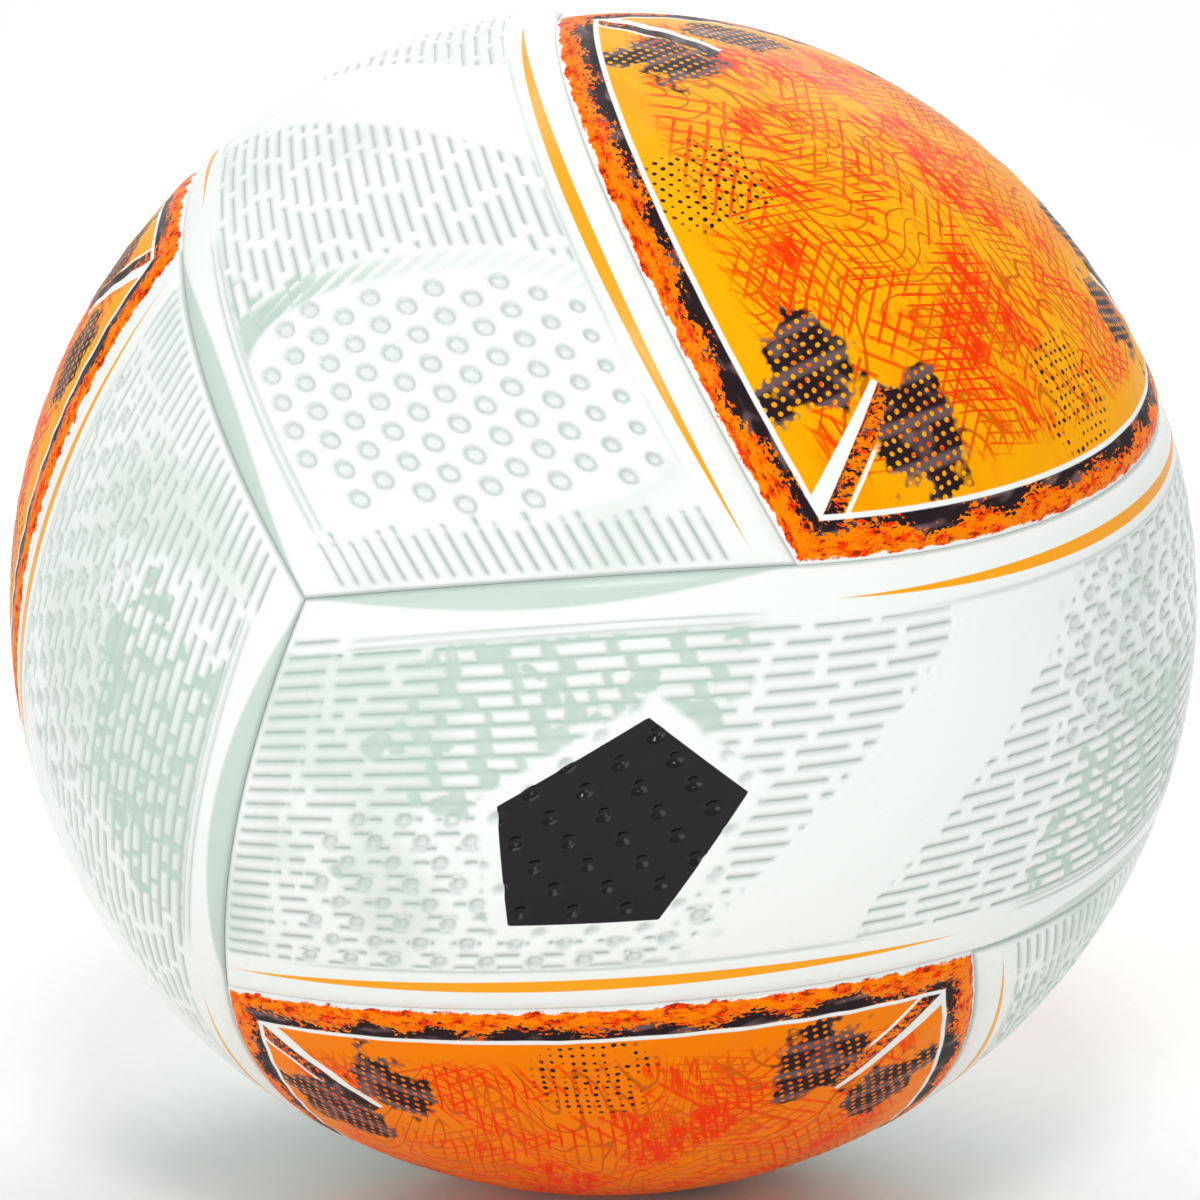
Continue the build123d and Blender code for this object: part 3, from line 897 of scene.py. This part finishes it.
def printed_orange_cover(colours):
    """Satin polyurethane film printed in yellow to orange with hatching, dots and a torn dark edge."""
    material, tree, surface = new_material(
        "printed_orange_polyurethane", colours.orange, Roughness=0.38, IOR=1.45, Specular_IOR_Level=0.05)
    lay = put(tree, "Attribute", out="Vector", attribute_name="lay")
    x, y, edge = attribute_parts(tree, "lay")
    along, side, trace = attribute_parts(tree, "spoke")
    flat = put(tree, "CombineXYZ", (x, y, 0.0))
    field = put(tree, "MapRange", (edge, 11.0, 15.0), **SOFT)
    colour = hatched(tree, colours, flat, field, orange_ground(tree, colours, flat))
    colour = dot_screens(tree, colours, flat, colour)
    strip, torn = torn_strip(tree, colours, trace, edge)
    colour = corner_bars(tree, colours, along, side, strip, torn, colour)
    # the strip is 6.6 mm wide, inside a white line of 0.9 mm
    line = put(tree, "MapRange", (edge, 7.6, 7.4))
    border = put(tree, "MapRange", (edge, 6.7, 6.5))
    for share, over in ((line, colours.white), (border, strip)):
        colour = put(tree, "Mix", {0: share, 6: colour, 7: over}, **BLEND)
    tree.links.new(colour, surface.inputs["Base Color"])
    gloss = film_surface(tree, surface, lay, 0.30, 0.40)
    tree.links.new(gloss, surface.inputs["Roughness"])
    return material


def mottled(name, colour, dark, grit, roughness, bump, **shader):
    """A material whose colour and surface vary with a grit size in metres."""
    material, tree, surface = new_material(name, colour, Roughness=roughness, **shader)
    where = put(tree, "TexCoord", out="Object")
    fine = put(tree, "TexNoise", {"Vector": where, "Scale": 1 / grit, "Detail": 3.0, "Roughness": 0.6})
    broad = put(tree, "TexNoise", {"Vector": where, "Scale": 0.12 / grit, "Detail": 2.0})
    share = put(tree, "Math", (fine, broad), operation="MULTIPLY")
    share = put(tree, "MapRange", (share, 0.12, 0.40))
    tint = put(tree, "Mix", {0: share, 6: dark, 7: colour}, **BLEND)
    raised = put(tree, "Bump", {"Strength": bump, "Distance": grit * 0.3, "Height": fine})
    gloss = put(tree, "MapRange", (broad, 0.3, 0.7, roughness - 0.06, roughness + 0.06))
    for socket, value in (("Base Color", tint), ("Normal", raised), ("Roughness", gloss)):
        tree.links.new(value, surface.inputs[socket])
    return material


def wound_thread(colours):
    """Waxed polyester thread, wound in all directions over the bladder, its turns 1.1 mm apart."""
    material, tree, surface = new_material("wound_polyester_thread", colours.thread, Roughness=0.6, IOR=1.55)
    where = put(tree, "TexCoord", out="Object")
    height = None
    for turn in ((0.3, 0.0, 0.4), (1.2, 0.6, 2.0), (2.3, 1.1, 0.9)):
        turned = put(tree, "Mapping", {"Vector": where, "Rotation": turn})
        wave = put(tree, "TexWave", {"Vector": turned, "Scale": ONE_BAND / 0.0011, "Distortion": 0.6},
                   out="Fac")
        height = wave if height is None else put(tree, "Math", (height, wave), operation="MAXIMUM")
    share = put(tree, "MapRange", (height, 0.4, 0.95))
    shade = put(tree, "Mix", {0: share, 6: linear("#8B8674"), 7: colours.thread}, **BLEND)
    raised = put(tree, "Bump", {"Strength": 0.6, "Distance": 0.0002, "Height": height})
    tree.links.new(shade, surface.inputs["Base Color"])
    tree.links.new(raised, surface.inputs["Normal"])
    return material


# ---------------------------------------------------------------- pieces


def white_sheet(name, pattern, sizes, kind, seed, patch=None):
    """The outer face of a white panel in its own frame, embossed, with the attributes of its print and of
    its painted shade.
    """
    piece = grid_piece(name, pattern.across, pattern.along)
    if len(piece.data.vertices) != len(pattern.s):
        raise RuntimeError(f"the grid has {len(piece.data.vertices)} points, not {len(pattern.s)}")
    depth, channel, shade = pattern.emboss(sizes, kind, seed)
    off_patch = np.full(len(pattern.s), 50.0)
    if patch is not None:
        x, y = pattern.x, np.where(pattern.half == 0, pattern.y, OTHER_HALF)
        off_patch = patch_distance(x, y, patch, sizes.patch / MM)
        margin = smooth(2.6, 3.8, off_patch)
        reach = lattice(x, y, 4.4, 8.2)[0]
        dimple = bowl(reach, sizes.fine_dimple_radius / MM) * (off_patch < 3.2) * (1 - margin)
        depth = depth * margin + dimple * sizes.dimple_depth / MM
        channel, shade = channel * margin, shade * margin + dimple * 0.5
    depth = depth + seam_drop(pattern.edge, sizes.seam_width / MM, sizes.seam_depth / MM)
    write_points(piece.data, pulled_in(pattern.way, sizes.gap) * (sizes.radius - depth * MM)[:, None])
    # "lay" keeps the two halves 300 mm apart, so that the ink's unevenness isn't the same in both
    # marks holds the share of print, the share of painted shade and the distance from the dark patch
    for attribute, values in (
            ("lay", (pattern.x, pattern.y + 300 * pattern.half, pattern.edge)),
            ("stripe", (pattern.orange_gap, pattern.orange_at, pattern.edge)),
            ("border", (pattern.white_gap, pattern.white_at, pattern.edge)),
            ("marks", (channel, shade, off_patch))):
        write_attribute(piece.data, attribute, np.column_stack(values))
    return piece


def cut_valve_hole(piece, radius, ball):
    """Opens a round hole with a soft lip at a panel's middle, before the wall is made."""
    lip_width, lip_drop = 1.3 * MM, 0.45 * MM
    points = read_points(piece.data)
    off = np.hypot(points[:, 0], points[:, 1])
    select_points(piece, (points[:, 2] > 0) & (off < radius + 0.05 * MM))
    only(piece)
    bpy.ops.object.mode_set(mode="EDIT")
    bpy.ops.mesh.select_mode(type="VERT")
    bpy.ops.mesh.delete(type="VERT")
    bpy.ops.object.mode_set(mode="OBJECT")
    # points on the hole's ragged rim, on edges with one face, are moved out or in to its circle
    points = read_points(piece.data)
    ends = np.array([e.vertices[:] for e in piece.data.edges])
    edge_of = np.empty(len(piece.data.loops), np.int32)
    piece.data.loops.foreach_get("edge_index", edge_of)
    faces_at = np.bincount(edge_of, minlength=len(ends))
    rim = np.zeros(len(points), bool)
    rim[ends[faces_at == 1].ravel()] = True
    off = np.hypot(points[:, 0], points[:, 1])
    rim &= (off < radius + 2 * MM) & (points[:, 2] > 0)
    lip = (off < radius + lip_width) & (points[:, 2] > 0)
    points[rim, :2] *= (radius / off[rim])[:, None]
    off = np.hypot(points[:, 0], points[:, 1])
    drop = lip_drop * (1 - np.clip((off - radius) / lip_width, 0, 1)) ** 2
    away = np.sqrt(np.maximum(ball ** 2 - off ** 2, 0))
    points[lip, 2] = away[lip] - drop[lip]
    write_points(piece.data, points)
    # rim points that were drawn onto each other become one
    bpy.ops.object.mode_set(mode="EDIT")
    bpy.ops.mesh.select_all(action="SELECT")
    bpy.ops.mesh.remove_doubles(threshold=0.02 * MM)
    bpy.ops.object.mode_set(mode="OBJECT")


def orange_sheet(name, cells, sizes):
    """The outer face of an orange panel in its own frame, from three four-sided patches."""
    sheets = []
    centre = np.array((0.0, 0.0, 1.0))
    for k in range(3):
        after = (k + 1) % 3
        piece = grid_piece(f"{name}_{k}", cells, cells)
        s, t = ((read_points(piece.data)[:, :2] + 1) / 2).T
        mid_a, mid_b = orange_side(k, [0.5])[0], orange_side(after, [0.5])[0]
        low, left = great_arc(centre, mid_a, s), great_arc(centre, mid_b, t)
        right, top = orange_side(k, 0.5 + t / 2), orange_side(after, 0.5 - s / 2)
        s, t = s[:, None], t[:, None]
        corners = ((1 - s) * (1 - t) * centre + s * (1 - t) * mid_a
                   + (1 - s) * t * mid_b + s * t * orange_corner(after))
        blend = (1 - t) * low + t * top + (1 - s) * left + s * right - corners
        write_points(piece.data, unit(blend))
        sheets.append(piece)
    deselect_all()
    for piece in sheets:
        piece.select_set(True)
    bpy.context.view_layer.objects.active = sheets[0]
    bpy.ops.object.join()
    piece = bpy.context.object
    piece.name = piece.data.name = name
    bpy.ops.object.mode_set(mode="EDIT")
    bpy.ops.mesh.select_all(action="SELECT")
    bpy.ops.mesh.remove_doubles(threshold=1e-5)
    bpy.ops.mesh.normals_make_consistent(inside=False)
    bpy.ops.object.mode_set(mode="OBJECT")
    way = unit(read_points(piece.data))
    to_mm = sizes.radius / MM
    outline = orange_outline()
    edge, trace = nearest(way, outline)
    edge, trace = edge * to_mm, trace * np.linalg.norm(outline[1] - outline[0]) * to_mm
    angle, turn = np.arccos(np.clip(way[:, 2], -1, 1)), np.arctan2(way[:, 1], way[:, 0])
    x, y = angle * to_mm * np.cos(turn), angle * to_mm * np.sin(turn)
    corner_reach = math.acos(orange_corner(0)[2]) * to_mm
    mid_reach = math.acos(orange_side(0, [0.5])[0][2]) * to_mm
    # along and side: from the nearest corner towards the middle, and across that way
    along, side = np.full(len(way), FAR_OFF), np.zeros(len(way))
    # distances to the middles of the dot screens near the sides, 17 mm in, and near the corners, 30 mm in
    mid_gap, screen_gap = np.full(len(way), FAR_OFF), np.full(len(way), FAR_OFF)
    for k in range(3):
        c = orange_corner(k)
        a = math.atan2(c[1], c[0])
        inwards = corner_reach - (x * math.cos(a) + y * math.sin(a))
        across = -x * math.sin(a) + y * math.cos(a)
        closer = np.hypot(inwards, across) < np.hypot(along, side)
        along, side = np.where(closer, inwards, along), np.where(closer, across, side)
        reach, m = mid_reach - 17.0, a + math.pi
        mid_gap = np.minimum(mid_gap, np.hypot(x - reach * math.cos(m), y - reach * math.sin(m)))
        out = corner_reach - 30.0
        for aside in (-11.0, 11.0):
            px = out * math.cos(a) - aside * math.sin(a)
            py = out * math.sin(a) + aside * math.cos(a)
            screen_gap = np.minimum(screen_gap, np.hypot(x - px, y - py))
    # a faint ripple and blunt ribs show through the film
    swirl = cloud(way * to_mm, 30.0, 8)
    ripple = 0.10 * cloud(way * to_mm, 7.0, 5)
    ripple = ripple + 0.07 * np.sin((x + y * 0.4) * 2 * math.pi / 7.5 + 3 * swirl)
    depth = (0.17 + ripple) * smooth(3, 6, edge)
    depth = np.maximum(depth + seam_drop(edge, sizes.seam_width / MM, sizes.seam_depth / MM), 0)
    write_points(piece.data, pulled_in(way, sizes.gap) * (sizes.radius - depth * MM)[:, None])
    for attribute, values in (("lay", (x, y, edge)), ("spoke", (along, side, trace)),
                              ("middle", (mid_gap, screen_gap, edge))):
        write_attribute(piece.data, attribute, np.column_stack(values))
    return piece


def pad_profile(edge, top, rounding):
    """Radius of a pad's outer face at a distance from its edge, with a round shoulder."""
    inside = np.clip(1 - edge / rounding, 0, 1)
    return top - rounding * (1 - np.sqrt(1 - inside ** 2)) * 0.9


class BALL_OT_white_panels(bpy.types.Operator):
    """Adds the six long white cover panels with their grooves, dimples and print"""
    bl_idname = "ball.white_panels"
    bl_label = "White panels"

    def execute(self, context):
        sizes, colours = context.scene.ball_sizes, context.scene.ball_colours
        material = printed_white_cover(colours)
        pattern = WhitePattern(sizes)
        # copies are made first, and every piece is finished afterwards
        made = {}
        for name, kind, seed, patch, master in (
                ("front", "clouded", 20, (-4.0, 47.0), None), ("rear", "dimpled", 40, None, None),
                ("top", "dimpled", 40, None, None), ("bottom", "clouded", 60, None, None),
                ("left", "clouded", 60, None, "bottom"), ("right", "dimpled", 40, None, "top")):
            label, turn = "cover_white_" + name, white_place(name)
            if master:
                made[name] = place_copy(made[master], label, turn @ white_place(master).T)
                continue
            piece = white_sheet(label, pattern, sizes, kind, seed, patch)
            if name == "rear":
                cut_valve_hole(piece, sizes.valve_hole, sizes.radius)
            give_wall(piece, sizes.skin, sizes.radius - sizes.skin, COVER_KEEP)
            turn_piece(piece, turn)
            made[name] = piece
        for name, piece in made.items():
            finish_piece(piece, material, "root", "white_panel_" + name)
        return {"FINISHED"}


class BALL_OT_orange_panels(bpy.types.Operator):
    """Adds the four three-sided orange cover panels with their printed edges and hatching"""
    bl_idname = "ball.orange_panels"
    bl_label = "Orange panels"

    def execute(self, context):
        sizes, colours = context.scene.ball_sizes, context.scene.ball_colours
        material = printed_orange_cover(colours)
        first = orange_sheet("cover_orange_upper", sizes.orange_cells, sizes)
        give_wall(first, sizes.skin, sizes.radius - sizes.skin, COVER_KEEP)
        made = {name: place_copy(first, "cover_orange_" + name, orange_place(name))
                for name in ORANGE_PANELS if name != "upper"}
        turn_piece(first, orange_place("upper"))
        made["upper"] = first
        for name, piece in made.items():
            finish_piece(piece, material, "root", "orange_panel_" + name)
        return {"FINISHED"}


class BALL_OT_foam_pads(bpy.types.Operator):
    """Adds the ten foam pads that lie under the cover panels"""
    bl_idname = "ball.foam_pads"
    bl_label = "Foam pads"

    def execute(self, context):
        sizes, colours = context.scene.ball_sizes, context.scene.ball_colours
        # closed-cell EVA foam, cut from sheet: matt, cream, with cells of about 0.6 mm
        material = mottled("closed_cell_eva_foam", colours.foam, linear("#CFC8B0"),
                           0.0006, 0.85, 0.5, IOR=1.5)
        under = sizes.foam_top - sizes.foam
        for family, places in (("white", WHITE_PANELS), ("orange", ORANGE_PANELS)):
            if family == "white":
                first = grid_piece("pad_white", 60, 150)
                across, along = ((read_points(first.data)[:, :2] + 1) / 2).T
                way, outline, place = white_patch(across, along), white_outline(), white_place
            else:
                first = orange_sheet("pad_orange", 48, sizes)
                way, outline, place = unit(read_points(first.data)), orange_outline(), orange_place
            edge = nearest(way, outline)[0] * sizes.foam_top / MM
            surface = pad_profile(edge, sizes.foam_top / MM, sizes.foam_round / MM)
            # the cut face is uneven by hundredths of a millimetre, in blots of 4 mm
            surface = surface - 0.03 * (1 + cloud(way * PAD_R, 4.0, 3))
            write_points(first.data, pulled_in(way, sizes.gap) * surface[:, None] * MM)
            made = {}
            if family == "white":
                # the rear pad alone has a hole, for the valve's neck
                holed = place_copy(first, "foam_white_rear", np.eye(3))
                cut_valve_hole(holed, sizes.neck_hole, sizes.foam_top)
                give_wall(holed, sizes.foam, under, PAD_KEEP)
                turn_piece(holed, place("rear"))
                made["rear"] = holed
            give_wall(first, sizes.foam, under, PAD_KEEP)
            master, *others = places
            for name in others:
                if name not in made:
                    made[name] = place_copy(first, f"foam_{family}_{name}", place(name))
            first.name = first.data.name = f"foam_{family}_{master}"
            turn_piece(first, place(master))
            made[master] = first
            for name, piece in made.items():
                finish_piece(piece, material, "root", f"{family}_foam_{name}")
        return {"FINISHED"}


class BALL_OT_inner_layers(bpy.types.Operator):
    """Gives the carcass, the winding and the bladder their finishes"""
    bl_idname = "ball.inner_layers"
    bl_label = "Inner layers"

    def execute(self, context):
        colours = context.scene.ball_colours
        # moulded natural rubber, matt with a fine mould texture
        carcass = mottled("moulded_natural_rubber", colours.carcass, linear("#262220"),
                          0.0008, 0.7, 0.3, IOR=1.52)
        # butyl rubber, black and a little glossy, dusted with talc
        bladder = mottled("talced_butyl_rubber", colours.bladder, linear("#4A4848"),
                          0.0012, 0.5, 0.2, IOR=1.53)
        finish_node("carcass", carcass)
        finish_node("thread_winding", wound_thread(colours))
        finish_node("bladder", bladder)
        return {"FINISHED"}


class BALL_OT_valve(bpy.types.Operator):
    """Gives the valve housing and its soft core their finishes"""
    bl_idname = "ball.valve"
    bl_label = "Valve"

    def execute(self, context):
        colours = context.scene.ball_colours
        # moulded rubber housing, satin
        housing = mottled("moulded_valve_rubber", colours.valve, linear("#1B1A1A"),
                          0.0004, 0.5, 0.15, IOR=1.52)
        # a softer core, a little glossier from the silicone oil on it
        core = mottled("oiled_core_rubber", colours.core, linear("#22201F"), 0.0003, 0.38, 0.12, IOR=1.52)
        finish_node("valve_housing", housing)
        finish_node("valve_core", core)
        return {"FINISHED"}


def finish_node(name, material):
    """Puts a material on a CAD node that stays as it is."""
    node = frame["nodes"][name]
    for slot in node.material_slots:
        slot.material = material
    if not node.material_slots:
        node.data.materials.append(material)


class BALL_OT_stage(bpy.types.Operator):
    """Adds the pale floor, the soft lights and the camera"""
    bl_idname = "ball.stage"
    bl_label = "Stage"

    def execute(self, context):
        look = context.scene.ball_look
        floor_z = CAD_BOX[0][2] - 0.0002
        deselect_all()
        bpy.ops.mesh.primitive_plane_add(size=6.0, location=(0, 0, floor_z))
        floor = context.object
        floor.name = "floor"
        # the rear edge is drawn up into a backdrop, and the fold between them is rounded
        bpy.ops.object.mode_set(mode="EDIT")
        bpy.ops.mesh.select_all(action="DESELECT")
        bpy.ops.object.mode_set(mode="OBJECT")
        self.select_rear_edges(floor.data, 10.0)
        bpy.ops.object.mode_set(mode="EDIT")
        bpy.ops.mesh.select_mode(type="EDGE")
        bpy.ops.mesh.extrude_region_move(TRANSFORM_OT_translate={"value": (0, 0, 3.0)})
        bpy.ops.mesh.select_all(action="DESELECT")
        bpy.ops.object.mode_set(mode="OBJECT")
        self.select_rear_edges(floor.data, 0.1)
        bpy.ops.object.mode_set(mode="EDIT")
        bpy.ops.mesh.bevel(offset=1.6, segments=24, affect="EDGES")
        bpy.ops.object.mode_set(mode="OBJECT")
        bpy.ops.object.shade_smooth()
        # painted studio board, matt, with a faint roller texture
        material, tree, surface = new_material("painted_studio_board", linear("#F4F5F4"), Roughness=0.9)
        roller = put(tree, "TexNoise", {"Vector": put(tree, "TexCoord", out="Object"), "Scale": 300.0})
        paint = put(tree, "Mix", {0: roller, 6: linear("#F1F2F1"), 7: linear("#F7F8F7")}, **BLEND)
        tree.links.new(paint, surface.inputs["Base Color"])
        floor.data.materials.append(material)
        world = bpy.data.worlds.new("white_surround")
        world.use_nodes = True
        background = world.node_tree.nodes["Background"]
        background.inputs["Color"].default_value = linear("#FBFDFC")
        background.inputs["Strength"].default_value = look.surround
        context.scene.world = world
        ball = (0, 0, 0)
        for name, place, aim, size, power in (
                ("key_light", (0.05, -0.95, 1.05), ball, 0.28, look.key),
                ("front_light", (-0.9, -1.4, 0.25), ball, 0.9, look.fill),
                ("back_light", (0.5, 1.2, 1.2), ball, 0.9, look.fill),
                ("backdrop_light", (0, 1.0, 2.4), (0, 3.0, 0.5), 1.6, look.backdrop)):
            deselect_all()
            bpy.ops.object.light_add(type="AREA", location=place)
            light = context.object
            light.name = name
            light.data.size, light.data.energy = size, power
            light.rotation_euler = (Vector(aim) - Vector(place)).to_track_quat("-Z", "Y").to_euler()
        deselect_all()
        place = Vector((0, -math.cos(look.height), math.sin(look.height))) * look.distance
        bpy.ops.object.camera_add(location=place)
        camera = context.object
        camera.name = "camera"
        camera.rotation_euler = (-place).to_track_quat("-Z", "Y").to_euler()
        camera.data.lens, camera.data.sensor_width = look.lens, 36.0
        camera.data.shift_x, camera.data.shift_y = -0.0025, 0.0017
        camera.data.clip_start = 0.01
        context.scene.camera = camera
        context.scene.view_settings.view_transform = "Standard"
        return {"FINISHED"}

    @staticmethod
    def select_rear_edges(mesh, height):
        """Selects the edges that lie wholly at the back and below a height."""
        for edge in mesh.edges:
            ends = [mesh.vertices[v].co for v in edge.vertices]
            edge.select = all(p.y > 0 and p.z < height for p in ends)


class BALL_PT_parts(bpy.types.Panel):
    """Lists the ball's pieces in the order in which they are made"""
    bl_label = "Bonded soccer ball"
    bl_idname = "BALL_PT_parts"
    bl_space_type = "VIEW_3D"
    bl_region_type = "UI"
    bl_category = "Ball"

    def draw(self, context):
        for operator in OPERATORS:
            self.layout.operator(operator.bl_idname)
        for group in (context.scene.ball_sizes, context.scene.ball_colours, context.scene.ball_look):
            box = self.layout.box()
            for name in group.bl_rna.properties.keys():
                if name not in ("rna_type", "name"):
                    box.prop(group, name)


OPERATORS = (BALL_OT_stage, BALL_OT_white_panels, BALL_OT_orange_panels, BALL_OT_foam_pads,
             BALL_OT_inner_layers, BALL_OT_valve)
CLASSES = (BallSizes, CoverColours, StudioLook) + OPERATORS + (BALL_PT_parts,)


def register():
    for cls in CLASSES:
        bpy.utils.register_class(cls)
    bpy.types.Scene.ball_sizes = bpy.props.PointerProperty(type=BallSizes)
    bpy.types.Scene.ball_colours = bpy.props.PointerProperty(type=CoverColours)
    bpy.types.Scene.ball_look = bpy.props.PointerProperty(type=StudioLook)


def unregister():
    for name in ("ball_sizes", "ball_colours", "ball_look"):
        delattr(bpy.types.Scene, name)
    for cls in reversed(CLASSES):
        bpy.utils.unregister_class(cls)


def main():
    register()
    bpy.ops.ball.stage()
    bpy.ops.ball.white_panels()
    bpy.ops.ball.orange_panels()
    bpy.ops.ball.foam_pads()
    bpy.ops.ball.inner_layers()
    bpy.ops.ball.valve()
    deselect_all()


if __name__ == "__main__":
    main()
